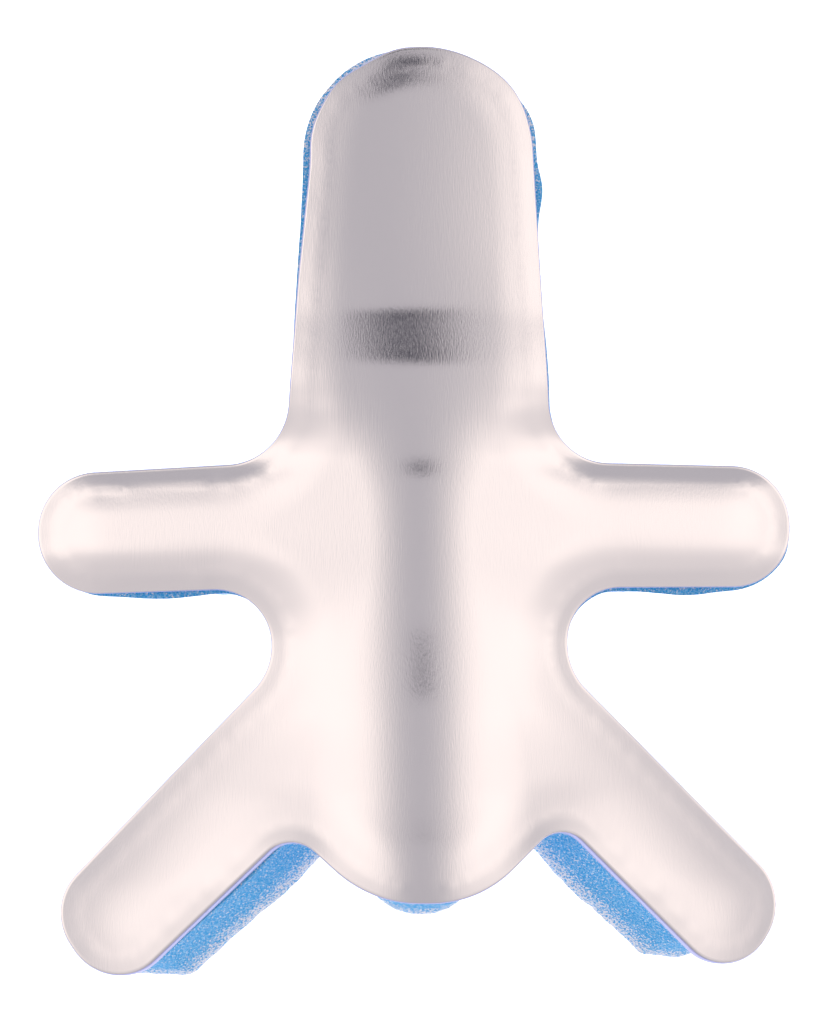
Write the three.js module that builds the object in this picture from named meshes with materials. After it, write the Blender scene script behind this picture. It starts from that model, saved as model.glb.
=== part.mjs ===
// A four-armed finger splint: a stamped sheet of soft aluminium, bent over a die-cut pad of foam.
// It lies on its foam side as on a table: the round fingertip end points along +Y and touches the table,
// and the four arms come down to it. Millimetres, +Z up, the origin under the middle of the whole splint.
import * as THREE from 'three';
import { ConvexHull } from 'three/addons/math/ConvexHull.js';

// Sheet, foam and the fit between them
const sheetThickness = 0.8;
const foamThickness = 6.35;
const seatGap = 0.3; // between the sheet and the foam
const foamMargin = 0.45; // the foam's cut edge past the sheet's
const foamPress = 0.35; // how far the foam's underside is pressed flat where it rests

// Outline of the sheet, seen from above; places along the splint are measured back from the fingertip end
const tipWidth = 18.2;
const tipRoundShare = 0.499; // its corners' rounds as a share of its width: just under a half circle
const neckWidth = 21.6;
const neckRound = 5.0; // hollow corner between the neck and an upper arm
const upperSpan = 61.4;
const upperArmWidth = 10.3;
const upperArmEndWidth = 9.9;
const upperArmPlace = 38.85;
const upperArmEndPlace = 39.05;
const upperEndRoundShare = 0.495; // of the end's width
const waistWidth = 24.0;
const waistFoot = 50.55; // where the lower arm's outer edge leaves the waist
const waistRoundUpper = 4.3;
const waistRoundLower = 5.1;
const lowerArmWidth = 9.1;
const lowerArmLength = 26.6; // along its outer edge, to the square corner that its round end fills
const lowerArmAngle = 44.5; // degrees below the crosswise line
const lowerArmSkew = 1.5; // the inner corner of its end reaches further than the outer one
const outerEndRoundShare = 0.49; // of the lower arm's width
const innerEndRoundShare = 0.47;
const armReachTrim = 0.2; // its round end stops this share of its width short of its outer corner
const leftLean = 0.7; // the left arms' ends lie this much further back than the right ones
const leftDraw = 0.8; // and the left lower arm's end this much closer to the middle
const tailPlace = 68.8;
const tailWidth = 8.7;
const tailAngle = 42; // degrees between the tail's sides and the crosswise line
const tailRound = 10.0;
const crotchRound = 2.5; // between the tail and a lower arm

// The sheet's form: a crowned strip down the middle that rises towards the tail, bent down at both sides
const tipIncline = 11; // degrees that the fingertip end is tilted up from the table
const tailHeight = 19.4; // top of the sheet at the tail
const sideBendRadius = 18.0; // on top of the sheet, over the finger
const dishBendRadius = 70.0; // the same at the fingertip end
const dishSlope = 4.5; // degrees, the sides of the fingertip dish before its rim turns down
const neckSlope = 7;

// The foam lies slid a little to the right and back. Under the lower arms' ends its inner corners are cut
// straight across, a cut's depth in front of the sheet's square corner
const foamSlideRight = 0.2;
const foamSlideBack = 0.15;
const foamArmDraw = 0.7; // its lower arms are this much narrower than the sheet's, at their inner side
const foamTailDraw = 0.8; // and its tail this much shorter
const rightCutDepth = 4.14;
const rightCutSag = 0.5; // at the middle of the cut
const rightCutMiddleRound = 2.3;
const rightCutRound = 0.6; // at its inner end
const leftCutDepth = 3.3;
const leftCutOuterRound = 1.2;
const leftCutRound = 1.2;

// Mesh
const meshStep = 1.9; // between neighbouring vertices
const arcStep = 24; // degrees along a rounded corner
const edgeClearance = 0.62; // shares of meshStep from the outline to the nearest vertex inside it
const normalReach = 0.25; // over which a surface's normal is measured

const radians = THREE.MathUtils.degToRad;
const stack = sheetThickness + seatGap + foamThickness;

// Sections from the fingertip end to the tail. Shares: at of tailPlace, rise of the crown's rise between its
// two ends, dished from the radius of the side bends over the finger to that at the fingertip end, rim of
// half the upper arm's width. The rim turns down by the angle turn, in degrees, over its width.
const sections = [
  { at: 0.00, rise: 0.000, dished: 1.00, rim: 0.74, turn: 12 },
  { at: 0.12, rise: 0.102, dished: 1.00, rim: 0.74, turn: 12 },
  { at: 0.23, rise: 0.187, dished: 1.00, rim: 0.74, turn: 12 },
  { at: 0.30, rise: 0.242, dished: 1.00, rim: 0.78, turn: 10 },
  { at: 0.37, rise: 0.336, dished: 0.90, rim: 0.84, turn: 7 },
  { at: 0.42, rise: 0.383, dished: 0.40, rim: 0.88, turn: 8 },
  { at: 0.47, rise: 0.422, dished: 0.05, rim: 0.93, turn: 12 },
  { at: 0.565, rise: 0.520, dished: 0.00, rim: 1.00, turn: 21 },
  { at: 0.62, rise: 0.567, dished: 0.00, rim: 1.00, turn: 21 },
  { at: 0.72, rise: 0.678, dished: 0.00, rim: 1.00, turn: 18 },
  { at: 0.80, rise: 0.778, dished: 0.00, rim: 0.96, turn: 16 },
  { at: 0.90, rise: 0.870, dished: 0.00, rim: 0.94, turn: 15 },
  { at: 1.00, rise: 1.000, dished: 0.00, rim: 0.92, turn: 15 },
];

// Hermite interpolation of one column of a table whose rows are placed by at
function readColumn(rows, column, at) {
  const last = rows.length - 1;
  const place = Math.min(Math.max(at, rows[0].at), rows[last].at);
  let i = 0;
  while (i < last - 1 && place > rows[i + 1].at) i++;
  const tangent = (k) => {
    const before = rows[Math.max(k - 1, 0)];
    const after = rows[Math.min(k + 1, last)];
    return (after[column] - before[column]) / (after.at - before.at);
  };
  const span = rows[i + 1].at - rows[i].at;
  const t = (place - rows[i].at) / span;
  const from = rows[i][column] * (1 + 2 * t) * (1 - t) ** 2 + tangent(i) * span * t * (1 - t) ** 2;
  const to = rows[i + 1][column] * t * t * (3 - 2 * t) - tangent(i + 1) * span * t * t * (1 - t);
  return from + to + tangent(at > place ? last : 0) * (at - place);
}

// Height of the sheet's crown and radius of its side bends, at a place back from the fingertip end
const tipHeight = stack * Math.cos(radians(tipIncline)) - foamPress;
const crownRise = tailHeight - tipHeight;
const crownHeight = (place) => tipHeight + crownRise * readColumn(sections, 'rise', place / tailPlace);
function bendRadius(place) {
  const dished = readColumn(sections, 'dished', place / tailPlace);
  return THREE.MathUtils.lerp(sideBendRadius, dishBendRadius, dished);
}

// How far the bent side has dropped below the crown, at a distance from the middle line
function sideDrop(distance, bend, slope) {
  const bendWidth = bend * Math.sin(slope);
  const past = Math.abs(distance) - bendWidth;
  if (past < 0) return bend - Math.sqrt(bend ** 2 - distance ** 2);
  return bend * (1 - Math.cos(slope)) + past * Math.tan(slope);
}

// The side slope, in degrees, that brings the foam under an arm's end down onto the table
function slopeToTable(reach, place) {
  const incline = (crownHeight(place + 1) - crownHeight(place - 1)) / 2;
  let low = 0;
  let high = radians(70);
  for (let halving = 0; halving < 40; halving++) {
    const slope = (low + high) / 2;
    const upright = 1 / Math.sqrt(1 + Math.tan(slope) ** 2 + incline ** 2);
    const underside = crownHeight(place) - sideDrop(reach, bendRadius(place), slope) - stack * upright;
    if (underside > -foamPress) low = slope;
    else high = slope;
  }
  return THREE.MathUtils.radToDeg(low);
}

// Where the line through a along u crosses the line through b along v
function crossing(a, u, b, v) {
  const t = ((b.x - a.x) * v.y - (b.y - a.y) * v.x) / (u.x * v.y - u.y * v.x);
  return a.clone().addScaledVector(u, t);
}

// A lower arm, laid out from the foot of the waist: the square corners of its end, of the tail and of the
// crotch between them
const armAlong = new THREE.Vector2(Math.cos(radians(lowerArmAngle)), -Math.sin(radians(lowerArmAngle)));
const armAcross = new THREE.Vector2(armAlong.y, -armAlong.x);
const armRoot = new THREE.Vector2(waistWidth / 2, -waistFoot);
const tailSide = new THREE.Vector2(Math.cos(radians(tailAngle)), Math.sin(radians(tailAngle)));

function lowerArm({ lean, draw, armWidth, tailEnd }) {
  const outer = armRoot.clone().addScaledVector(armAlong, lowerArmLength);
  outer.x -= draw;
  outer.y -= lean;
  const inner = outer.clone().addScaledVector(armAcross, armWidth).addScaledVector(armAlong, lowerArmSkew);
  const tailCorner = new THREE.Vector2(tailWidth / 2, -tailEnd);
  return { outer, inner, tailCorner, crotch: crossing(inner, armAlong, tailCorner, tailSide) };
}

// Square corners of the right half of the outline, from the fingertip end to the tail, each with its round.
// The left half is its mirror image, with the ends of its arms leaning back.
function halfCorners(side) {
  const { outer, inner, crotch, tailCorner } = lowerArm(side);
  const endPlace = upperArmEndPlace + side.lean;
  const upperEndRound = upperEndRoundShare * upperArmEndWidth;
  return [
    { x: tipWidth / 2, y: 0, round: tipRoundShare * tipWidth },
    { x: neckWidth / 2, y: -(upperArmPlace - upperArmWidth / 2), round: neckRound },
    { x: upperSpan / 2, y: -(endPlace - upperArmEndWidth / 2), round: upperEndRound },
    { x: upperSpan / 2, y: -(endPlace + upperArmEndWidth / 2), round: upperEndRound },
    { x: waistWidth / 2, y: -(upperArmPlace + upperArmWidth / 2), round: waistRoundUpper },
    { x: armRoot.x, y: armRoot.y, round: waistRoundLower },
    { x: outer.x, y: outer.y, round: outerEndRoundShare * side.armWidth },
    { x: inner.x, y: inner.y, round: innerEndRoundShare * side.armWidth },
    { x: crotch.x, y: crotch.y, round: crotchRound },
    { x: tailCorner.x, y: tailCorner.y, round: tailRound },
  ];
}

const mirrored = (corners) => corners.map((corner) => ({ ...corner, x: -corner.x })).reverse();
const rightSide = { lean: 0, draw: 0, armWidth: lowerArmWidth, tailEnd: tailPlace };
const leftSide = { ...rightSide, lean: leftLean, draw: leftDraw };
const sheetCorners = [...halfCorners(rightSide), ...mirrored(halfCorners(leftSide))];

// Both ends of the straight cut under a lower arm's end
function footCut(side, depth) {
  const { outer, inner } = lowerArm(side);
  const cutLine = new THREE.Vector2(0, inner.y + depth);
  const crosswise = new THREE.Vector2(1, 0);
  return {
    outerCut: crossing(outer, inner.clone().sub(outer), cutLine, crosswise),
    innerCut: crossing(inner, armAlong, cutLine, crosswise),
  };
}

// The foam's corners: the sheet's, with the cuts in place of the inner corners of the lower arms' ends
function foamCorners() {
  const innerEndRow = 7;
  const narrowed = { armWidth: lowerArmWidth - foamArmDraw, tailEnd: tailPlace - foamTailDraw };
  const rightFoam = { ...rightSide, ...narrowed };
  const leftFoam = { ...leftSide, ...narrowed };
  const right = halfCorners(rightFoam);
  const left = halfCorners(leftFoam);
  const rightCut = footCut(rightFoam, rightCutDepth);
  const leftCut = footCut(leftFoam, leftCutDepth);
  const sagging = rightCut.outerCut.clone().lerp(rightCut.innerCut, 0.5);
  sagging.y -= rightCutSag;
  right.splice(
    innerEndRow,
    1,
    { x: sagging.x, y: sagging.y, round: rightCutMiddleRound },
    { x: rightCut.innerCut.x, y: rightCut.innerCut.y, round: rightCutRound },
  );
  left.splice(
    innerEndRow,
    1,
    { x: leftCut.outerCut.x, y: leftCut.outerCut.y, round: leftCutOuterRound },
    { x: leftCut.innerCut.x, y: leftCut.innerCut.y, round: leftCutRound },
  );
  return [...right, ...mirrored(left)].map(({ x, y, round }) => (
    { x: x + foamSlideRight, y: y - foamSlideBack, round }
  ));
}

// Each corner of a closed polygon with the directions back and ahead along its edges and half its angle
function framed(corners) {
  return corners.map((corner, i) => {
    const here = new THREE.Vector2(corner.x, corner.y);
    const before = corners[(i + corners.length - 1) % corners.length];
    const after = corners[(i + 1) % corners.length];
    const back = new THREE.Vector2(before.x, before.y).sub(here).normalize();
    const ahead = new THREE.Vector2(after.x, after.y).sub(here).normalize();
    const half = Math.acos(back.dot(ahead)) / 2;
    const inward = back.clone().add(ahead).normalize();
    return { here, back, inward, half, hollow: back.cross(ahead) < 0, round: corner.round };
  });
}

// A closed outline through rounded corners, as evenly spread points
function roundedOutline(corners, step) {
  const path = new THREE.Path();
  for (const { here, back, inward, half, hollow, round } of framed(corners)) {
    const start = here.clone().addScaledVector(back, round / Math.tan(half));
    const centre = here.clone().addScaledVector(inward, round / Math.sin(half));
    const from = start.clone().sub(centre).angle();
    const sweep = Math.PI - 2 * half;
    path.absarc(centre.x, centre.y, round, from, hollow ? from + sweep : from - sweep, !hollow);
  }
  path.closePath();
  const points = [];
  for (const curve of path.curves) {
    const length = curve.getLength();
    if (length < 0.001) continue;
    const turned = curve.isEllipseCurve ? Math.abs(curve.aEndAngle - curve.aStartAngle) : 0;
    const parts = Math.max(1, Math.ceil(length / step), Math.ceil(turned / radians(arcStep)));
    points.push(...curve.getSpacedPoints(parts).slice(0, parts));
  }
  return points;
}

// Corners moved outwards by a margin, with their rounds kept concentric
function grown(corners, margin) {
  return framed(corners).map(({ here, inward, half, hollow, round }) => {
    const outward = hollow ? margin : -margin;
    here.addScaledVector(inward, outward / Math.sin(half));
    return { x: here.x, y: here.y, round: Math.max(round - outward, 0) };
  });
}

const sheetOutline = roundedOutline(sheetCorners, meshStep);

// Signed distance from a point to an outline, positive inside
function depthInside(x, y, outline) {
  let nearest = Infinity;
  let inside = false;
  for (let i = 0, j = outline.length - 1; i < outline.length; j = i++) {
    const a = outline[j];
    const b = outline[i];
    const dx = b.x - a.x;
    const dy = b.y - a.y;
    const t = Math.min(Math.max(((x - a.x) * dx + (y - a.y) * dy) / (dx * dx + dy * dy), 0), 1);
    nearest = Math.min(nearest, Math.hypot(a.x + t * dx - x, a.y + t * dy - y));
    if (a.y > y !== b.y > y && x < a.x + ((y - a.y) / dy) * dx) inside = !inside;
  }
  return inside ? nearest : -nearest;
}

// Slope of a bent side, in degrees, at shares of tailPlace: its arms go down to the table
function sideSlopes(side) {
  const upperSlope = slopeToTable(upperSpan / 2, upperArmEndPlace + side.lean);
  const lowerEnd = lowerArm(side).outer;
  const lowerSlope = slopeToTable(lowerEnd.x - armReachTrim * lowerArmWidth, -lowerEnd.y);
  return [
    { at: 0.00, slope: dishSlope },
    { at: 0.12, slope: dishSlope },
    { at: 0.23, slope: 0.8 * dishSlope + 0.2 * neckSlope },
    { at: 0.30, slope: 0.2 * dishSlope + 0.8 * neckSlope },
    { at: 0.37, slope: neckSlope },
    { at: 0.42, slope: 0.7 * neckSlope + 0.3 * upperSlope },
    { at: 0.47, slope: upperSlope },
    { at: 0.62, slope: upperSlope },
    { at: 0.72, slope: 0.6 * upperSlope + 0.4 * lowerSlope },
    { at: 0.80, slope: 0.2 * upperSlope + 0.8 * lowerSlope },
    { at: 0.90, slope: lowerSlope },
    { at: 1.00, slope: lowerSlope },
  ];
}
const rightSlopes = sideSlopes(rightSide);
const leftSlopes = sideSlopes(leftSide);

// Top of the sheet without and with its turned-down rim
function channelHeight(x, y) {
  const slope = radians(readColumn(x > 0 ? rightSlopes : leftSlopes, 'slope', -y / tailPlace));
  return crownHeight(-y) - sideDrop(x, bendRadius(-y), slope);
}

function sheetHeight(x, y) {
  const at = -y / tailPlace;
  const rim = readColumn(sections, 'rim', at) * upperArmWidth / 2;
  const turn = Math.tan(radians(readColumn(sections, 'turn', at)));
  const short = Math.max(rim - depthInside(x, y, sheetOutline), 0);
  return channelHeight(x, y) - turn * short ** 2 / (2 * rim);
}

// The point a given depth below a surface, along its normal
function below(height, x, y, depth) {
  const h = normalReach;
  const normal = new THREE.Vector3(
    (height(x - h, y) - height(x + h, y)) / (2 * h),
    (height(x, y - h) - height(x, y + h)) / (2 * h),
    1,
  ).normalize();
  return new THREE.Vector3(x, y, height(x, y)).addScaledVector(normal, -depth);
}

// Triangles over an outline and the spots inside it: the lower side of the convex hull of the points lifted
// onto a paraboloid is their Delaunay triangulation
function triangulate(outline, step) {
  const spots = outline.map((point) => new THREE.Vector2(point.x, point.y));
  const box = new THREE.Box2().setFromPoints(outline);
  const rowStep = step * Math.sqrt(3) / 2;
  const rows = Math.ceil((box.max.y - box.min.y) / rowStep);
  const columns = Math.ceil((box.max.x - box.min.x) / step / 2);
  for (let row = 0; row <= rows; row++) {
    for (let column = -columns; column <= columns; column++) {
      const x = (column + (row % 2) / 2) * step;
      const y = box.max.y - row * rowStep;
      if (depthInside(x, y, outline) > edgeClearance * step) spots.push(new THREE.Vector2(x, y));
    }
  }
  const lifted = spots.map((spot) => new THREE.Vector3(spot.x, spot.y, spot.lengthSq()));
  const index = new Map(lifted.map((point, i) => [point, i]));
  const triangles = [];
  for (const face of new ConvexHull().setFromPoints(lifted).faces) {
    if (face.normal.z >= -1e-9) continue;
    const corners = [0, 1, 2].map((k) => index.get(face.getEdge(k).head().point));
    const [a, b, c] = corners.map((corner) => spots[corner]);
    if (depthInside((a.x + b.x + c.x) / 3, (a.y + b.y + c.y) / 3, outline) <= 0) continue;
    const turn = (b.x - a.x) * (c.y - a.y) - (b.y - a.y) * (c.x - a.x);
    triangles.push(turn > 0 ? corners : corners.reverse());
  }
  return { spots, triangles };
}

// A closed shell between an upper and a lower surface over the same outline
function shellGeometry(outline, upper, lower) {
  const { spots, triangles } = triangulate(outline, meshStep);
  const count = spots.length;
  const positions = [...spots.map(upper), ...spots.map(lower)].flatMap((point) => point.toArray());
  const faces = [];
  const open = new Map();
  for (const [a, b, c] of triangles) {
    faces.push(a, b, c, count + a, count + c, count + b);
    for (const [from, to] of [[a, b], [b, c], [c, a]]) {
      if (!open.delete(`${to} ${from}`)) open.set(`${from} ${to}`, [from, to]);
    }
  }
  for (const [from, to] of open.values()) {
    faces.push(from, count + from, count + to, from, count + to, to);
  }
  const geometry = new THREE.BufferGeometry();
  geometry.setAttribute('position', new THREE.Float32BufferAttribute(positions, 3));
  geometry.setIndex(faces);
  geometry.computeVertexNormals();
  return geometry;
}

function buildSheet() {
  const upper = (spot) => new THREE.Vector3(spot.x, spot.y, sheetHeight(spot.x, spot.y));
  const lower = (spot) => below(sheetHeight, spot.x, spot.y, sheetThickness);
  const material = new THREE.MeshStandardMaterial({ color: '#c6c4c5', roughness: 0.34, metalness: 1 });
  const mesh = new THREE.Mesh(shellGeometry(sheetOutline, upper, lower), material);
  mesh.name = 'aluminium_sheet';
  return mesh;
}

function buildFoam() {
  const outline = roundedOutline(grown(foamCorners(), foamMargin), meshStep);
  const upper = (spot) => below(sheetHeight, spot.x, spot.y, sheetThickness + seatGap);
  const lower = (spot) => {
    const point = below(channelHeight, spot.x, spot.y, stack);
    return point.setZ(Math.max(point.z, 0));
  };
  const material = new THREE.MeshStandardMaterial({ color: '#5aaee4', roughness: 0.95, metalness: 0 });
  const mesh = new THREE.Mesh(shellGeometry(outline, upper, lower), material);
  mesh.name = 'foam_pad';
  return mesh;
}

const splint = new THREE.Group();
splint.add(buildSheet(), buildFoam());

// The origin is under the middle of the splint's box, at the table
const bounds = new THREE.Box3().setFromObject(splint, true);
const middle = bounds.getCenter(new THREE.Vector3());
splint.position.set(-middle.x, -middle.y, -bounds.min.z);

export default splint;
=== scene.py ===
import bpy
import math
from functools import partial
import numpy as np
from mathutils import Matrix, Vector, geometry


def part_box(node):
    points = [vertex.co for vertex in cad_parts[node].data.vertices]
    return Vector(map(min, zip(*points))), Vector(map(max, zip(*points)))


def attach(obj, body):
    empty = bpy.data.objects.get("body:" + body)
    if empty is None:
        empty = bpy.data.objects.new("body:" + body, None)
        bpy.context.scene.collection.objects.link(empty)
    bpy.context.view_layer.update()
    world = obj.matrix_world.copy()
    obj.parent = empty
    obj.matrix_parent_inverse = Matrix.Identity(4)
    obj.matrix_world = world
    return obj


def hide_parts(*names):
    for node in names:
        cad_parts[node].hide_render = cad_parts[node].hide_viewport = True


# A finger splint: brushed aluminium sheet on a pad of blue foam, lying foam side down on a light table.
# Sizes are in millimetres and degrees here, and become metres when a mesh is made.

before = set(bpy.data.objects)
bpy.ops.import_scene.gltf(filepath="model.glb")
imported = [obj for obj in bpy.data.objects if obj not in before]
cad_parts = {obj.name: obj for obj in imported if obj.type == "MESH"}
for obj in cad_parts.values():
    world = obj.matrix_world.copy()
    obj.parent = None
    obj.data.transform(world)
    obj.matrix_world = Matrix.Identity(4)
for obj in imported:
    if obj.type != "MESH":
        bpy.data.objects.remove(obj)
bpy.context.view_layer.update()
mm = 0.001


def addNode(tree, kind, links=(), **settings):
    # adds a node with its settings, links or fills its inputs, and gives back its first output
    node = tree.nodes.new(kind)
    for name, value in settings.items():
        setattr(node, name, value)
    sockets = [s for s in node.inputs if s.enabled]
    byName = dict((s.name, s) for s in reversed(sockets))  # the first, where several share a name
    for key, value in (links.items() if isinstance(links, dict) else enumerate(links)):
        socket = sockets[key] if isinstance(key, int) else byName[key]
        if isinstance(value, bpy.types.NodeSocket):
            tree.links.new(value, socket)
        else:
            socket.default_value = value
    outputs = [s for s in node.outputs if s.enabled]
    return outputs[0] if outputs else node


def linear(code):
    # an sRGB hex colour as the linear RGBA that Blender works in
    parts = [int(code[i:i + 2], 16) / 255 for i in (1, 3, 5)]
    return [p / 12.92 if p <= 0.04045 else ((p + 0.055) / 1.055) ** 2.4 for p in parts] + [1]


def unit(way):
    # the same direction at a length of one
    return way / np.linalg.norm(way)


# The drawing of the cut outline: places back from the fingertip end, and widths across the middle line
drawing = {
    "tipWidth": 18.2, "tipRound": 9.08,
    "neckWidth": 21.6, "neckRound": 5.0,
    "upperSpan": 61.4, "upperArmWidth": 10.3, "upperArmEndWidth": 9.9, "upperEndRound": 4.9,
    "upperArmPlace": 38.85, "upperArmEndPlace": 39.05,
    "waistWidth": 24.0, "waistFoot": 50.55, "waistRoundUpper": 4.3, "waistRoundLower": 5.1,
    "lowerArmWidth": 9.1, "lowerArmLength": 26.6, "lowerArmAngle": 44.5, "lowerArmSkew": 1.5,
    "outerEndRoundShare": 0.49, "innerEndRoundShare": 0.47,
    "tailPlace": 68.8, "tailWidth": 8.7, "tailAngle": 42, "tailRound": 10.0, "crotchRound": 2.5,
    "lean": 0.0, "draw": 0.0,  # how far the ends of a side's arms lie further back and closer in
}
leftSide = {"lean": 0.7, "draw": 0.8}

# where the drawing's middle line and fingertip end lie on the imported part
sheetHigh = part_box("aluminium_sheet")[1]
drawingOrigin = np.array((sheetHigh.x / mm - drawing["upperSpan"] / 2, sheetHigh.y / mm))


def crossing(a, u, b, v):
    # where the line through a along u meets the line through b along v
    t = ((b[0] - a[0]) * v[1] - (b[1] - a[1]) * v[0]) / (u[0] * v[1] - u[1] * v[0])
    return a + t * u


def halfCorners(changes, cut=None):
    # square corners of one half, from the fingertip to the tail, each with its round
    sizes = {**drawing, **changes}
    turn = math.radians(sizes["lowerArmAngle"])
    along = np.array((math.cos(turn), -math.sin(turn)))
    across = np.array((along[1], -along[0]))
    root = np.array((sizes["waistWidth"] / 2, -sizes["waistFoot"]))
    outer = root + along * sizes["lowerArmLength"] - np.array((sizes["draw"], sizes["lean"]))
    inner = outer + across * sizes["lowerArmWidth"] + along * sizes["lowerArmSkew"]
    tail = np.array((sizes["tailWidth"] / 2, -sizes["tailPlace"]))
    tailTurn = math.radians(sizes["tailAngle"])
    crotch = crossing(inner, along, tail, np.array((math.cos(tailTurn), math.sin(tailTurn))))
    if cut:  # the foam's end is cut straight across instead of rounded
        level = np.array((0, inner[1] + cut["depth"]))
        near = crossing(inner, along, level, np.array((1, 0)))
        far = crossing(outer, inner - outer, level, np.array((1, 0)))
        start = far + (near - far) * cut["start"]
        innerEnd = [(start[0], start[1] - cut["sag"], cut["startRound"]), (*near, cut["round"])]
    else:
        innerEnd = [(*inner, sizes["innerEndRoundShare"] * sizes["lowerArmWidth"])]
    halfArm = sizes["upperArmWidth"] / 2
    halfEnd = sizes["upperArmEndWidth"] / 2
    endPlace = sizes["upperArmEndPlace"] + sizes["lean"]
    return [
        (sizes["tipWidth"] / 2, 0, sizes["tipRound"]),
        (sizes["neckWidth"] / 2, -(sizes["upperArmPlace"] - halfArm), sizes["neckRound"]),
        (sizes["upperSpan"] / 2, -(endPlace - halfEnd), sizes["upperEndRound"]),
        (sizes["upperSpan"] / 2, -(endPlace + halfEnd), sizes["upperEndRound"]),
        (sizes["waistWidth"] / 2, -(sizes["upperArmPlace"] + halfArm), sizes["waistRoundUpper"]),
        (*root, sizes["waistRoundLower"]),
        (*outer, sizes["outerEndRoundShare"] * sizes["lowerArmWidth"]),
        *innerEnd,
        (*crotch, sizes["crotchRound"]),
        (*tail, sizes["tailRound"]),
    ]


def closedOutline(right, left, step):
    # rounds every corner and spreads points evenly along the closed line, anticlockwise from above
    roundPoints = 40
    corners = right + [(-x, y, r) for x, y, r in reversed(left)]
    points = []
    for i, (x, y, radius) in enumerate(corners):
        here = np.array((x, y))
        back = unit(np.array(corners[i - 1][:2]) - here)
        ahead = unit(np.array(corners[(i + 1) % len(corners)][:2]) - here)
        halfTurn = math.acos(np.dot(back, ahead)) / 2
        centre = here + unit(back + ahead) * radius / math.sin(halfTurn)
        spoke = here + back * radius / math.tan(halfTurn) - centre
        first = math.atan2(spoke[1], spoke[0])
        hollow = back[0] * ahead[1] - back[1] * ahead[0] < 0
        sweep = (math.pi - 2 * halfTurn) * (1 if hollow else -1)
        for angle in np.linspace(first, first + sweep, roundPoints):
            points.append(centre + radius * np.array((math.cos(angle), math.sin(angle))))
    loop = np.array(points[::-1] + points[-1:])
    length = np.concatenate(([0], np.cumsum(np.hypot(*np.diff(loop, axis=0).T))))
    at = np.linspace(0, length[-1], round(length[-1] / step), endpoint=False)
    return np.column_stack([np.interp(at, length, loop[:, k]) for k in (0, 1)])


def outwardOf(loop):
    # the way out of the outline at each of its points
    along = np.roll(loop, -1, axis=0) - np.roll(loop, 1, axis=0)
    along /= np.hypot(*along.T)[:, None]
    return np.column_stack((along[:, 1], -along[:, 0]))


def swollen(loop, margin, lumps):
    # the outline moved out by a margin, and by a little more or less near a few places
    reach = np.full(len(loop), float(margin))
    for x, y, height, width in lumps:
        reach += height * np.exp(-((loop - (x, y)) ** 2).sum(1) / (2 * width ** 2))
    return loop + outwardOf(loop) * reach[:, None]


def depthInside(spots, loop):
    # distance of each spot to the outline, positive inside
    a, b = loop, np.roll(loop, -1, axis=0)
    edge = b - a
    depth = np.empty(len(spots))
    batch = 1500  # spots at a time, so that the tables stay small
    for start in range(0, len(spots), batch):
        p = spots[start:start + batch, None]
        t = np.clip(((p - a) * edge).sum(2) / (edge ** 2).sum(1), 0, 1)
        nearest = np.sqrt((((a + t[..., None] * edge) - p) ** 2).sum(2).min(1))
        rises = (a[:, 1] > p[..., 1]) != (b[:, 1] > p[..., 1])
        slant = np.where(edge[:, 1] == 0, 1, edge[:, 1])  # a level edge is never crossed
        onLeft = p[..., 0] < a[:, 0] + (p[..., 1] - a[:, 1]) / slant * edge[:, 0]
        depth[start:start + batch] = np.where((rises & onLeft).sum(1) % 2, nearest, -nearest)
    return depth


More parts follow.
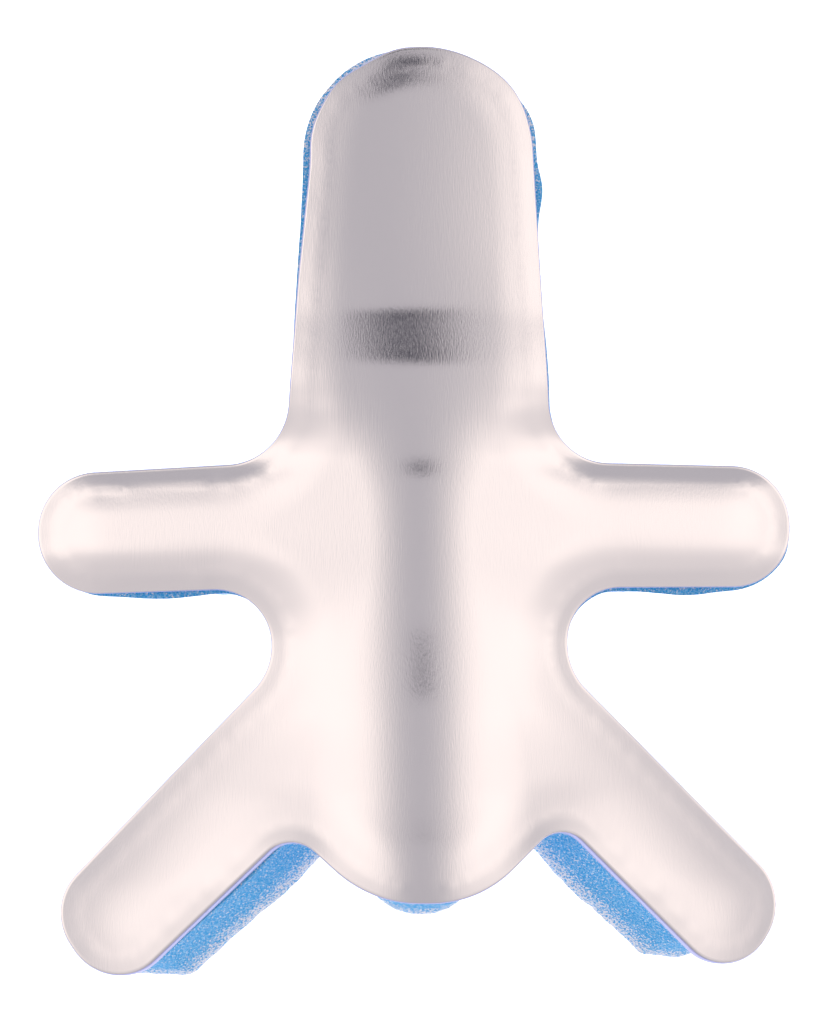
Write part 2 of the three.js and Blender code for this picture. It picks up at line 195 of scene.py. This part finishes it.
def flatBlank(name, loop, insets, step, wall, metalEdge):
    # the flat blank of a piece: a lid of rings and fine triangles, a wall and an underside, as one closed
    # mesh whose attributes tell the bending where each vertex belongs
    clearance = 0.6  # how far the fine triangles' corners keep off the rings, as a share of the step
    uvSpan = 80  # millimetres to one unit of the UV map
    outward = outwardOf(loop)
    rings = [loop - outward * inset for inset in insets]
    count = len(loop)
    inner = rings[-1]
    low, high = inner.min(0), inner.max(0)
    rowStep = step * math.sqrt(3) / 2
    spots = []
    for row, y in enumerate(np.arange(low[1], high[1], rowStep)):
        columns = np.arange(math.floor(low[0] / step), math.ceil(high[0] / step)) + (row % 2) / 2
        spots.append(np.column_stack((columns * step, np.full(len(columns), y))))
    spots = np.vstack(spots)
    spots = spots[depthInside(spots, inner) > clearance * step]
    points = [Vector(p) for p in np.vstack((inner, spots))]
    # fine triangles inside the innermost ring, without slivers across its hollows
    filled = geometry.delaunay_2d_cdt(points, [], [list(range(count))], 1, 1e-6, True)
    corners, _, triangles, origins = filled[:4]
    triangles = np.array(triangles)
    centres = np.array([tuple(corner) for corner in corners])[triangles].mean(1)
    triangles = triangles[depthInside(centres, inner) > 0]
    shift = count * (len(rings) - 1)
    lidFaces = [[shift + origins[i][0] for i in face] for face in triangles]
    pairs = [(j, (j + 1) % count) for j in range(count)]
    for ring in range(0, shift, count):
        further = ring + count
        lidFaces += [[ring + j, ring + i, further + i, further + j] for j, i in pairs]
    lid = np.vstack(rings + [spots])
    lidCount = len(lid)
    # the wall's own rings, then the underside whose first ring closes the wall
    between = wall[1:-1]
    flat = np.vstack([lid] + [loop] * len(between) + [lid])
    ofLid, ofRing = np.arange(lidCount), np.arange(count)
    twin = np.concatenate([ofLid] + [ofRing] * len(between) + [ofLid])
    wallShares = [np.full(count, share) for _, share in between]
    shares = np.concatenate([np.zeros(lidCount)] + wallShares + [np.ones(lidCount)])
    bulge = np.zeros((len(flat), 3))
    starts = [0] + [lidCount + count * k for k in range(len(wall) - 1)]
    for start, (reach, _) in zip(starts, wall):
        bulge[start:start + count, :2] = outward * reach * mm
    faces = list(lidFaces)
    for upper, lower in zip(starts, starts[1:]):
        faces += [[upper + j, lower + j, lower + i, upper + i] for j, i in pairs]
    faces += [[starts[-1] + i for i in reversed(face)] for face in lidFaces]
    mesh = bpy.data.meshes.new(name)
    places = np.column_stack(((flat + drawingOrigin) * mm, np.zeros(len(flat))))
    mesh.from_pydata(places.tolist(), [], faces)
    # the lid's vertex that each vertex follows, its share of the thickness, its way out of the outline,
    # its distance in from the metal's cut edge, and the faces that are formed first
    attributes = {
        "twin": ("INT", "POINT", "value", twin.astype(np.int32)),
        "share": ("FLOAT", "POINT", "value", shares),
        "bulge": ("FLOAT_VECTOR", "POINT", "vector", bulge.ravel()),
        "edgeDistance": ("FLOAT", "POINT", "value", np.maximum(depthInside(flat, metalEdge), 0)),
        "lid": ("BOOLEAN", "FACE", "value", np.arange(len(faces)) < len(lidFaces)),
    }
    for label, (kind, domain, key, values) in attributes.items():
        mesh.attributes.new(label, kind, domain).data.foreach_set(key, values)
    unwrapped = mesh.uv_layers.new(name="flat")  # the flat blank is the UV map
    ends = np.empty(len(mesh.loops), np.int32)
    mesh.loops.foreach_get("vertex_index", ends)
    unwrapped.data.foreach_set("uv", (flat[ends] / uvSpan + 0.5).ravel())
    blank = bpy.data.objects.new(name, mesh)
    bpy.context.scene.collection.objects.link(blank)
    return blank


# Rows from the fingertip to the tail: place as a share of the length; dished, which is 1 where the sides
# bend down as gently as at the fingertip and 0 where they bend as over the finger; rim as a share of half
# an arm; and in degrees the rim's turn, the right side's slope, the left side's and the roll to the right
bendTable = [
    (0.000, 1.0, 0.74, 10, 4.5, 4.5, 1.6),
    (0.120, 1.0, 0.74, 10, 4.5, 4.5, 2.0),
    (0.230, 1.0, 0.74, 10, 5.0, 5.0, 2.0),
    (0.300, 1.0, 0.78, 9, 6.5, 6.5, 1.2),
    (0.370, 0.9, 0.84, 7, 7.0, 7.0, 0.8),
    (0.420, 0.6, 0.88, 9, 9.0, 9.0, 0.6),
    (0.470, 0.2, 0.93, 19, 13.1, 13.4, 0.3),
    (0.520, 0.04, 0.97, 24, 13.1, 13.4, 0.0),
    (0.565, 0.0, 1.00, 25, 13.1, 13.4, 0.0),
    (0.620, 0.0, 1.00, 23, 13.1, 13.4, 0.0),
    (0.720, 0.0, 1.00, 18, 19.4, 20.2, 0.0),
    (0.800, 0.0, 0.96, 16, 25.7, 27.0, 0.0),
    (0.900, 0.0, 0.94, 15, 28.8, 30.4, 0.0),
    (1.000, 0.0, 0.92, 15, 28.8, 30.4, 0.0),
]

# How steeply the crown climbs, in degrees at places back from the fingertip: it was pressed by hand, so
# it climbs in soft waves
climb = [
    (0, 9.2), (0.7, 8.4), (1.4, 7.4), (2, 7.3), (2.6, 8.3), (3.1, 9.3), (3.7, 9.0), (4.4, 8.3),
    (5.3, 8.0), (20, 8.0), (20.8, 9.3), (21.6, 13), (22.4, 14.7), (25, 14.7), (25.8, 13), (26.8, 8.8),
    (28, 8), (32, 8), (33, 11), (33.8, 13.2), (34.8, 13.2), (36, 9.6), (38, 8.8), (42, 8.8),
    (45, 10), (47.5, 13.2), (49.5, 13.8), (52, 14.0), (53.5, 12.4), (55, 9.6), (57, 8.6), (60, 8.8),
    (61.5, 12.6), (63, 13.8), (66, 14.0), (67.4, 13.8), (68.8, 10.5),
]

# Sizes of the bent shape, by the names of the tree's inputs
bending = {
    "Tip height": 6.963, "Crown rise": 12.437, "Length": drawing["tailPlace"],
    "Half arm": drawing["upperArmWidth"] / 2, "Dish bend": 70.0, "Side bend": 18.0,
}
climbSteps, climbMarks = 400, 87  # how finely the climb is summed, and how many points of it are kept
rimSoftening = 12  # rounds of smoothing, so that the rim runs softly round inner corners
crumbSeed, crumbDetail = 7.3, 2.0
crumbLumps = [(1.0, 1.0), (2.5, 0.45)]  # how much finer and how strong, for each size of lump
aboveTable = (-1, -1, 0)  # lowest coordinates that a vertex may have, in metres


def bendTree():
    # the tree that bends both pieces: the lid is formed first, and carries the wall and the underside
    tree = bpy.data.node_groups.new("bendOverFinger", "GeometryNodeTree")
    tree.interface.new_socket("Geometry", in_out="INPUT", socket_type="NodeSocketGeometry")
    for name in (*bending, "Upper depth", "Lower depth", "Rim below", "Crumb", "Crumb size"):
        tree.interface.new_socket(name, in_out="INPUT", socket_type="NodeSocketFloat")
    tree.interface.new_socket("Material", in_out="INPUT", socket_type="NodeSocketMaterial")
    tree.interface.new_socket("Geometry", in_out="OUTPUT", socket_type="NodeSocketGeometry")
    given = dict((s.name, s) for s in tree.nodes.new("NodeGroupInput").outputs)
    add = partial(addNode, tree)
    scalar, vector = "ShaderNodeMath", "ShaderNodeVectorMath"

    # place along the splint and distance from its middle line, in millimetres
    position = add("GeometryNodeInputPosition")
    fromOrigin = add(vector, [position, (*(drawingOrigin * mm), 0)], operation="SUBTRACT")
    inDrawing = add(vector, [fromOrigin, (1 / mm,) * 3], operation="MULTIPLY")
    drawn = add("ShaderNodeSeparateXYZ", [inDrawing]).node
    right = drawn.outputs["X"]
    aside = add(scalar, [right], operation="ABSOLUTE")
    back = add(scalar, [drawn.outputs["Y"], -1.0], operation="MULTIPLY")
    place = add(scalar, [back, given["Length"]], operation="DIVIDE")

    def curveThrough(rows):
        # a smooth curve through rows of place and value, read at each vertex's place
        curve = add("ShaderNodeFloatCurve", {"Value": place})
        mapping = curve.node.mapping
        mapping.extend = "EXTRAPOLATED"
        mapping.use_clip = False
        points = mapping.curves[0].points
        for row in rows[1:-1]:
            points.new(*row)
        for point, row in zip(points, rows):
            point.location = row
        mapping.update()
        return curve

    column = {}
    for k, name in enumerate(("dished", "rim", "turn", "rightSlope", "leftSlope", "roll"), 1):
        # an angle's curve holds shares of a right angle
        whole, unitSize = (90, math.pi / 2) if k > 2 else (1, 1)
        rows = [(row[0], row[k] / whole) for row in bendTable]
        column[name] = add(scalar, [curveThrough(rows), unitSize], operation="MULTIPLY")
    steps = np.linspace(0, climb[-1][0], climbSteps)
    slopes = np.tan(np.radians(np.interp(steps, *zip(*climb))))
    rises = np.concatenate(([0], np.cumsum((slopes[1:] + slopes[:-1]) / 2)))
    marks = np.linspace(0, 1, climbMarks)
    rise = curveThrough(list(zip(marks, np.interp(marks * steps[-1], steps, rises / rises[-1]))))
    crown = add(scalar, [rise, given["Crown rise"], given["Tip height"]], operation="MULTIPLY_ADD")
    rim = add(scalar, [column["rim"], given["Half arm"]], operation="MULTIPLY")
    isRight = add(scalar, [right, 0.0], operation="GREATER_THAN")
    slope = add("GeometryNodeSwitch", {"Switch": isRight, "False": column["leftSlope"],
                                       "True": column["rightSlope"]}, input_type="FLOAT")
    rollTangent = add(scalar, [column["roll"]], operation="TANGENT")
    rollDrop = add(scalar, [right, rollTangent], operation="MULTIPLY")
    # the side bends down along an arc and then goes straight on
    radius = add("ShaderNodeMix", {"Factor": column["dished"], "A": given["Side bend"],
                                   "B": given["Dish bend"]}, clamp_factor=False)
    bendWidth = add(scalar, [radius, add(scalar, [slope], operation="SINE")], operation="MULTIPLY")
    inBend = add(scalar, [aside, bendWidth], operation="MINIMUM")
    squares = [add(scalar, [length, length], operation="MULTIPLY") for length in (radius, inBend)]
    chord = add(scalar, [add(scalar, squares, operation="SUBTRACT")], operation="SQRT")
    arcDrop = add(scalar, [radius, chord], operation="SUBTRACT")
    beyond = add(scalar, [aside, inBend], operation="SUBTRACT")
    steepness = add(scalar, [slope], operation="TANGENT")
    straightDrop = add(scalar, [beyond, steepness, arcDrop], operation="MULTIPLY_ADD")
    channel = crown
    for drop in (rollDrop, straightDrop):
        channel = add(scalar, [channel, drop], operation="SUBTRACT")
    # the stamped rim turns down towards the cut edge, by the square of the way out over it
    distance = add("GeometryNodeInputNamedAttribute", ["edgeDistance"], data_type="FLOAT")
    soft = add("GeometryNodeBlurAttribute", {"Value": distance, "Iterations": rimSoftening})
    short = add(scalar, [add(scalar, [rim, soft], operation="SUBTRACT"), 0.0], operation="MAXIMUM")
    steepest = add(scalar, [column["turn"]], operation="TANGENT")
    halfSteepest = add(scalar, [steepest, 0.5], operation="MULTIPLY")
    shortShare = add(scalar, [short, rim], operation="DIVIDE")
    shortSquare = add(scalar, [short, shortShare], operation="MULTIPLY")
    rimDrop = add(scalar, [shortSquare, halfSteepest], operation="MULTIPLY")
    heights = (add(scalar, [channel, rimDrop], operation="SUBTRACT"), channel)

    lidFaces = add("GeometryNodeInputNamedAttribute", ["lid"], data_type="BOOLEAN")
    lid = add("GeometryNodeSeparateGeometry", [given["Geometry"], lidFaces], domain="FACE")
    flatParts = add("ShaderNodeSeparateXYZ", [position]).node.outputs
    twin = add("GeometryNodeInputNamedAttribute", ["twin"], data_type="INT")
    normal = add("GeometryNodeInputNormal")
    bent = []
    for height in heights:
        metres = add(scalar, [height, mm], operation="MULTIPLY")
        lifted = add("ShaderNodeCombineXYZ", [flatParts["X"], flatParts["Y"], metres])
        formed = add("GeometryNodeSetPosition", {"Geometry": lid, "Position": lifted})
        for value in (position, normal):
            bent.append(add("GeometryNodeSampleIndex", {"Geometry": formed, "Value": value,
                                                        "Index": twin}, data_type="FLOAT_VECTOR"))
    topPlace, topNormal, channelPlace, channelNormal = bent
    basePlace = add("ShaderNodeMix", {"Factor": given["Rim below"], "A": channelPlace, "B": topPlace},
                    data_type="VECTOR")
    baseNormal = add("ShaderNodeMix", {"Factor": given["Rim below"], "A": channelNormal, "B": topNormal},
                     data_type="VECTOR")
    sides = []
    for start, direction, depth in ((topPlace, topNormal, given["Upper depth"]),
                                    (basePlace, baseNormal, given["Lower depth"])):
        down = add(scalar, [depth, -mm], operation="MULTIPLY")
        sides.append(add(vector, [direction, down, start], operation="MULTIPLY_ADD"))
    share = add("GeometryNodeInputNamedAttribute", ["share"], data_type="FLOAT")
    onPiece = add("ShaderNodeMix", {"Factor": share, "A": sides[0], "B": sides[1]}, data_type="VECTOR")
    bulge = add("GeometryNodeInputNamedAttribute", ["bulge"], data_type="FLOAT_VECTOR")
    full = add(vector, [onPiece, bulge], operation="ADD")
    resting = add(vector, [full, aboveTable], operation="MAXIMUM")
    piece = add("GeometryNodeSetPosition", {"Geometry": given["Geometry"], "Position": resting})

    # torn cells of the foam's cut faces: lumps and hollows of two sizes, with a fixed seed
    crumbs = []
    for finer, strength in crumbLumps:
        grain = add(scalar, [finer / mm, given["Crumb size"]], operation="DIVIDE")
        noise = add("ShaderNodeTexNoise", {"Vector": position, "W": crumbSeed, "Scale": grain,
                                             "Detail": crumbDetail}, noise_dimensions="4D")
        crumbs.append(add(scalar, [noise, strength, -0.5 * strength], operation="MULTIPLY_ADD"))
    crumbMetres = add(scalar, [given["Crumb"], mm], operation="MULTIPLY")
    offLid = add(scalar, [share, 0.001], operation="GREATER_THAN")  # the glued face stays smooth
    reach = add(scalar, [add(scalar, crumbs, operation="ADD"), crumbMetres], operation="MULTIPLY")
    push = add(scalar, [reach, offLid], operation="MULTIPLY")
    pushed = add(vector, [normal, push, position], operation="MULTIPLY_ADD")
    settled = add(vector, [pushed, aboveTable], operation="MAXIMUM")
    crumbly = add("GeometryNodeSetPosition", {"Geometry": piece, "Position": settled})
    real = add("GeometryNodeRealizeInstances", [crumbly])
    dressed = add("GeometryNodeSetMaterial", {"Geometry": real, "Material": given["Material"]})
    tree.links.new(dressed, tree.nodes.new("NodeGroupOutput").inputs[0])
    return tree


def bendBlank(blank, tree, values, name):
    # bends the blank with these values of the tree's inputs, and keeps the result as a plain mesh
    modifier = blank.modifiers.new("bend", "NODES")
    modifier.node_group = tree
    for item in tree.interface.items_tree:
        if item.name in values:
            modifier[item.identifier] = values[item.name]
    shaped = blank.evaluated_get(bpy.context.evaluated_depsgraph_get())
    mesh = bpy.data.meshes.new_from_object(shaped)
    bpy.data.objects.remove(blank)  # and the modifier with it
    for attribute in ("twin", "bulge", "edgeDistance", "lid"):
        mesh.attributes.remove(mesh.attributes[attribute])
    mesh.shade_smooth()
    piece = bpy.data.objects.new(name, mesh)
    bpy.context.scene.collection.objects.link(piece)
    return piece


aluminiumLook = {
    "colour": "#e6e2e4", "roughness": 0.15, "roughnessSpread": 0.05, "anisotropy": 0.4,
    "lineWidth": 0.1, "lineLength": 5.0, "lineDetail": 3.0, "lineRelief": 0.3, "lineDepth": 0.02,
    # the sheared edge's colour is a painted reflection of the blue foam; its roughness is its own
    "edgeFoamReflection": "#acafd6", "edgeRoughness": 0.5,
    "edgeShares": (0.05, 0.95),  # the stretch of the thickness that shows the sheared edge
}


def satinAluminium():
    # soft aluminium sheet, rolled and brushed along its length: a grey mirror that is soft across the
    # lines. Its sheared edge is duller, and its blue tint is a painted reflection of the foam beside it.
    look = aluminiumLook
    material = bpy.data.materials.new("satinBrushedAluminium")
    material.use_nodes = True
    tree = material.node_tree
    shader = tree.nodes["Principled BSDF"]
    shader.inputs["Metallic"].default_value = 1
    shader.inputs["Anisotropic"].default_value = look["anisotropy"]
    share = addNode(tree, "ShaderNodeAttribute", attribute_name="share").node.outputs["Fac"]
    first, last = look["edgeShares"]
    down = addNode(tree, "ShaderNodeMath", [share, first], operation="GREATER_THAN")
    up = addNode(tree, "ShaderNodeMath", [share, last], operation="LESS_THAN")
    onEdge = addNode(tree, "ShaderNodeMath", [down, up], operation="MULTIPLY")
    # the sheared edge's blue-lavender colour is a painted reflection of the foam, not the metal's own
    # colour
    colour = addNode(tree, "ShaderNodeMix", {"Factor": onEdge, "A": linear(look["colour"]),
                                             "B": linear(look["edgeFoamReflection"])}, data_type="RGBA")
    tree.links.new(colour, shader.inputs["Base Color"])
    drawn = addNode(tree, "ShaderNodeTexCoord").node.outputs["Object"]
    thin, long = 1 / (look["lineWidth"] * mm), 1 / (look["lineLength"] * mm)
    stretched = addNode(tree, "ShaderNodeMapping", {"Vector": drawn, "Scale": (thin, long, thin)})
    lines = addNode(tree, "ShaderNodeTexNoise", {"Vector": stretched, "Scale": 1.0,
                                                 "Detail": look["lineDetail"]})
    rough = addNode(tree, "ShaderNodeMapRange", {"Value": lines,
                                                 "To Min": look["roughness"] - look["roughnessSpread"],
                                                 "To Max": look["roughness"] + look["roughnessSpread"]})
    dull = addNode(tree, "ShaderNodeMix", {"Factor": onEdge, "A": rough, "B": look["edgeRoughness"]})
    tree.links.new(dull, shader.inputs["Roughness"])
    relief = addNode(tree, "ShaderNodeBump", {"Height": lines, "Strength": look["lineRelief"],
                                              "Distance": look["lineDepth"] * mm})
    tree.links.new(relief, shader.inputs["Normal"])
    tangent = addNode(tree, "ShaderNodeTangent", direction_type="UV_MAP", uv_map="flat")
    tree.links.new(tangent, shader.inputs["Tangent"])
    return material


foamLook = {
    # the pale colour for torn cells is partly a painted highlight that lightens the shaded underside
    "colour": "#38a1e6", "walls": "#8fcbf5", "frayedHighlight": "#e6e9f6", "roughness": 0.95, "specular": 0.2,
    "cell": 0.17, "cellShades": (0.3, 0.95), "cellRelief": 0.5, "cellDepth": 0.15,
    "frayGrain": 0.17, "frayDetail": 3.0, "fraySharpness": 9.0,
    # the foam frays over a stretch of its thickness and, at the fingertip, over a stretch of its length:
    # there it is painted pale, as torn cells and as painted highlight, where the grain is above a level,
    # given for the start and the end of the stretch
    "lowStretch": (0.62, 1.0), "lowLevels": (0.57, 0.38),
    "tipStretch": (23.0, 33.0), "tipLevels": (0.62, 0.44),
}


def blueFoam():
    # open-cell polyurethane foam, dyed light blue and die-cut: matt, with fine open cells that the
    # cutting has torn towards its underside and round the fingertip; the torn cells are painted pale,
    # partly as painted highlight of the light they catch
    look = foamLook
    material = bpy.data.materials.new("openCellPolyurethaneFoam")
    material.use_nodes = True
    tree = material.node_tree
    shader = tree.nodes["Principled BSDF"]
    shader.inputs["Roughness"].default_value = look["roughness"]
    shader.inputs["Specular IOR Level"].default_value = look["specular"]
    drawn = addNode(tree, "ShaderNodeTexCoord").node.outputs["Object"]
    cells = addNode(tree, "ShaderNodeTexVoronoi", {"Vector": drawn, "Scale": 1 / (look["cell"] * mm)})
    shade = addNode(tree, "ShaderNodeValToRGB", [cells])
    ramp = shade.node.color_ramp.elements
    for element, at, code in zip(ramp, look["cellShades"], (look["colour"], look["walls"])):
        element.position, element.color = at, linear(code)
    share = addNode(tree, "ShaderNodeAttribute", attribute_name="share").node.outputs["Fac"]
    grain = addNode(tree, "ShaderNodeTexNoise", {"Vector": drawn, "Scale": 1 / (look["frayGrain"] * mm),
                                                 "Detail": look["frayDetail"]})
    along = addNode(tree, "ShaderNodeSeparateXYZ", [drawn]).node.outputs["Y"]
    levels = []
    for value, name, size in ((share, "low", 1), (along, "tip", mm)):
        start, stop = look[name + "Stretch"]
        startLevel, stopLevel = look[name + "Levels"]
        levels.append(addNode(tree, "ShaderNodeMapRange",
                              {"Value": value, "From Min": start * size, "From Max": stop * size,
                               "To Min": -startLevel, "To Max": -stopLevel}))
    level = addNode(tree, "ShaderNodeMath", levels, operation="MAXIMUM")
    reach = addNode(tree, "ShaderNodeMath", [grain, level])
    tornHighlight = addNode(tree, "ShaderNodeMath", [reach, look["fraySharpness"]], operation="MULTIPLY",
                   use_clamp=True)
    # pale torn cells: partly torn foam, partly a painted highlight on the shaded underside and the
    # fingertip fringe
    frayedHighlight = addNode(tree, "ShaderNodeMix", {"Factor": tornHighlight, "A": shade, "B": linear(look["frayedHighlight"])},
                     data_type="RGBA")
    tree.links.new(frayedHighlight, shader.inputs["Base Color"])
    relief = addNode(tree, "ShaderNodeBump", {"Height": cells, "Strength": look["cellRelief"],
                                              "Distance": look["cellDepth"] * mm})
    tree.links.new(relief, shader.inputs["Normal"])
    return material


# The aluminium sheet
sheet = {
    "thickness": 0.8, "edgeRound": 0.22, "step": 0.45,
    "lidRings": (0, 0.12, 0.35, 0.7, 1.1), "roundTurns": (0, 22.5, 45, 67.5, 90),
    # the wall below the round: way out as a share of the round, way down as a share of the thickness
    "wall": [(1, 0.6), (1, 0.9), (0.7, 0.98), (0.4, 1.0)],
    # places where the cut runs in or out: x, y back from the fingertip, reach, width
    "lumps": [(-4.6, -1.2, -0.6, 2.0), (-7.8, -4.6, -0.55, 2.0), (-9.4, -9.0, -0.7, 2.6),
              (-9.7, -14.0, -0.45, 3.0), (-10.2, -20.5, -0.25, 4.0), (7.6, -3.4, 0.3, 2.2)],
}
sheetOutline = closedOutline(halfCorners({}), halfCorners(leftSide), sheet["step"])
sheetOutline = swollen(sheetOutline, 0, sheet["lumps"])

overFinger = bendTree()
roundReach = sheet["edgeRound"]
roundShare = roundReach / sheet["thickness"]
turns = [math.radians(turn) for turn in sheet["roundTurns"]]
sheetWall = [(roundReach * math.sin(turn), roundShare * (1 - math.cos(turn))) for turn in turns]
sheetWall += [(roundReach * reach, share) for reach, share in sheet["wall"]]
lidOutline = swollen(sheetOutline, -roundReach, [])
sheetBlank = flatBlank("sheetBlank", lidOutline, sheet["lidRings"], sheet["step"], sheetWall,
                       sheetOutline)
sheetBending = {
    **bending, "Upper depth": 0.0, "Lower depth": sheet["thickness"], "Rim below": 1.0,
    "Crumb": 0.0, "Crumb size": 1.0, "Material": satinAluminium(),
}
aluminiumSheet = bendBlank(sheetBlank, overFinger, sheetBending, "aluminiumSheet")
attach(aluminiumSheet, "root")
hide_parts("aluminium_sheet")
print("aluminium sheet:", len(aluminiumSheet.data.polygons), "faces")


# The foam pad
foam = {
    "thickness": 6.35, "seatGap": 0.3, "margin": 0.15, "slideRight": 0.2, "slideBack": 0.15,
    "narrowed": {"lowerArmWidth": 8.4, "tailPlace": 68.0},
    "rightCut": {"depth": 4.14, "start": 0.5, "sag": 0.5, "startRound": 2.3, "round": 0.6},
    "leftCut": {"depth": 3.3, "start": 0.0, "sag": 0.0, "startRound": 1.2, "round": 1.2},
    "outlineStep": 0.42, "step": 0.7, "lidRings": (0, 0.4, 0.85),
    "wallRings": 14, "wallHollow": 0.25, "crumb": 0.32, "crumbSize": 1.1,
    # places where the foam stands out or back: x, y back from the fingertip, reach, width
    "lumps": [(9.9, -11.3, 0.5, 1.4), (9.3, -5.5, 0.45, 1.8), (10.3, -18, -0.2, 3.0),
              (-9.7, -12, -0.25, 5.0), (-21.2, -44.2, 0.4, 2.6), (22.1, -44, 0.45, 2.6),
              (-13, -69.5, 0.3, 5.0), (14.5, -69.5, 0.3, 5.0), (0, -68.5, 0.3, 3.5)],
}
right = halfCorners(foam["narrowed"], foam["rightCut"])
left = halfCorners({**foam["narrowed"], **leftSide}, foam["leftCut"])
foamOutline = swollen(closedOutline(right, left, foam["outlineStep"]), foam["margin"], foam["lumps"])
foamOutline = foamOutline + np.array((foam["slideRight"], -foam["slideBack"]))

# the cut wall is hollow, most of all halfway down
depths = np.linspace(0, 1, foam["wallRings"])
foamWall = [(-foam["wallHollow"] * 4 * depth * (1 - depth), depth) for depth in depths]
foamBlank = flatBlank("foamBlank", foamOutline, foam["lidRings"], foam["step"], foamWall, sheetOutline)
seatDepth = sheet["thickness"] + foam["seatGap"]
foamBending = {
    **bending, "Upper depth": seatDepth, "Lower depth": seatDepth + foam["thickness"], "Rim below": 0.0,
    "Crumb": foam["crumb"], "Crumb size": foam["crumbSize"], "Material": blueFoam(),
}
foamPad = bendBlank(foamBlank, overFinger, foamBending, "foamPad")
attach(foamPad, "root")
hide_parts("foam_pad")
print("foam pad:", len(foamPad.data.polygons), "faces")


# Table, light and camera
studio = {
    "tableWidth": 4000, "paper": "#f4f4f4", "paperRoughness": 0.6,
    "glow": "#f8f8fa", "glowStrength": 0.95,
    "roomGrey": "#c6c3c8", "lampWhite": "#fff5ef", "lampStrength": 1.4,
    # the card's middle, half size and soft edge, in x and y of the direction it is seen in
    "cardGrey": "#151b33", "cardCentre": (0.06, 0.50), "cardHalf": (0.09, 0.05), "cardSoft": 0.025,
    "cameraReach": 450, "cameraLean": 3.5, "aim": (-0.24, 0.1, 8.0), "lens": 196.0,
}

tableMesh = bpy.data.meshes.new("table")
side = studio["tableWidth"] / 2 * mm
tableCorners = [(-side, -side, 0), (side, -side, 0), (side, side, 0), (-side, side, 0)]
tableMesh.from_pydata(tableCorners, [], [(0, 1, 2, 3)])
table = bpy.data.objects.new("table", tableMesh)
bpy.context.scene.collection.objects.link(table)
# matt white paper, lit from below, so that it stays white beside and under the splint
paper = bpy.data.materials.new("mattWhitePaper")
paper.use_nodes = True
shader = paper.node_tree.nodes["Principled BSDF"]
shader.inputs["Base Color"].default_value = linear(studio["paper"])
shader.inputs["Roughness"].default_value = studio["paperRoughness"]
shader.inputs["Emission Color"].default_value = linear(studio["glow"])
shader.inputs["Emission Strength"].default_value = studio["glowStrength"]
tableMesh.materials.append(paper)

world = bpy.data.worlds.new("studioRoom")
bpy.context.scene.world = world
world.use_nodes = True
room = world.node_tree
toSky = addNode(room, "ShaderNodeTexCoord").node.outputs["Generated"]
sky = addNode(room, "ShaderNodeSeparateXYZ", [toSky]).node.outputs

# Brightness of the side lamps along each axis of the room, from -1 to 1
lampStops = {
    "X": [(-1, 1), (-0.6, 1), (-0.5, 0.96), (-0.4, 0.84), (-0.3, 0.5), (-0.2, 0.2), (-0.1, 0.05),
          (0.05, 0), (0.2, 0.12), (0.3, 0.36), (0.4, 0.7), (0.5, 0.92), (0.6, 1), (1, 1)],
    "Y": [(-0.45, 0.3), (-0.25, 0.38), (-0.08, 0.46), (0.04, 0.6), (0.14, 0.82), (0.26, 0.97),
          (0.48, 0.96), (0.54, 0.75), (0.6, 0.42), (0.66, 0.15), (0.74, 0)],
    "Z": [(0, 0.05), (0.15, 0.2), (0.3, 0.42), (0.42, 0.7), (0.52, 0.95), (0.6, 1)],
}
lamps = 1.0
for axis, stops in lampStops.items():
    spread = addNode(room, "ShaderNodeMapRange", {"Value": sky[axis], "From Min": -1.0})
    ramp = addNode(room, "ShaderNodeValToRGB", [spread])
    elements = ramp.node.color_ramp.elements
    for stop in stops[2:]:  # a new ramp has two stops already
        elements.new((stop[0] + 1) / 2)
    for element, (at, level) in zip(elements, stops):
        element.position = (at + 1) / 2
        element.color = (level, level, level, 1)
    lamps = addNode(room, "ShaderNodeMath", [ramp, lamps], operation="MULTIPLY")
lampColour = [part * studio["lampStrength"] for part in linear(studio["lampWhite"])]
lit = addNode(room, "ShaderNodeMix", {"Factor": lamps, "A": linear(studio["roomGrey"]), "B": lampColour},
              data_type="RGBA")
# a dark card above the fingertip end
card = 1.0
for axis, middle, half in zip("XY", studio["cardCentre"], studio["cardHalf"]):
    aside = addNode(room, "ShaderNodeMath", [sky[axis], middle], operation="SUBTRACT")
    near = addNode(room, "ShaderNodeMapRange",
                   {"Value": addNode(room, "ShaderNodeMath", [aside], operation="ABSOLUTE"),
                    "From Min": half - studio["cardSoft"], "From Max": half + studio["cardSoft"],
                    "To Min": 1.0, "To Max": 0.0}, interpolation_type="SMOOTHSTEP")
    card = addNode(room, "ShaderNodeMath", [near, card], operation="MULTIPLY")
seen = addNode(room, "ShaderNodeMix", {"Factor": card, "A": lit, "B": linear(studio["cardGrey"])},
               data_type="RGBA")
room.links.new(seen, room.nodes["Background"].inputs["Color"])

lean = math.radians(studio["cameraLean"])
back = Vector((-math.sin(lean), 0, math.cos(lean)))
up = (Vector((0, 1, 0)) - back * back.y).normalized()
across = up.cross(back)
camera = bpy.data.objects.new("camera", bpy.data.cameras.new("camera"))
bpy.context.scene.collection.objects.link(camera)
camera.data.lens = studio["lens"]
camera.data.sensor_width = 36
camera.data.clip_start, camera.data.clip_end = 0.01, 20
camera.matrix_world = Matrix((across, up, back)).transposed().to_4x4()
camera.location = (Vector(studio["aim"]) + back * studio["cameraReach"]) * mm
bpy.context.scene.camera = camera
bpy.context.scene.view_settings.view_transform = "Standard"
print("table, light and camera are set")
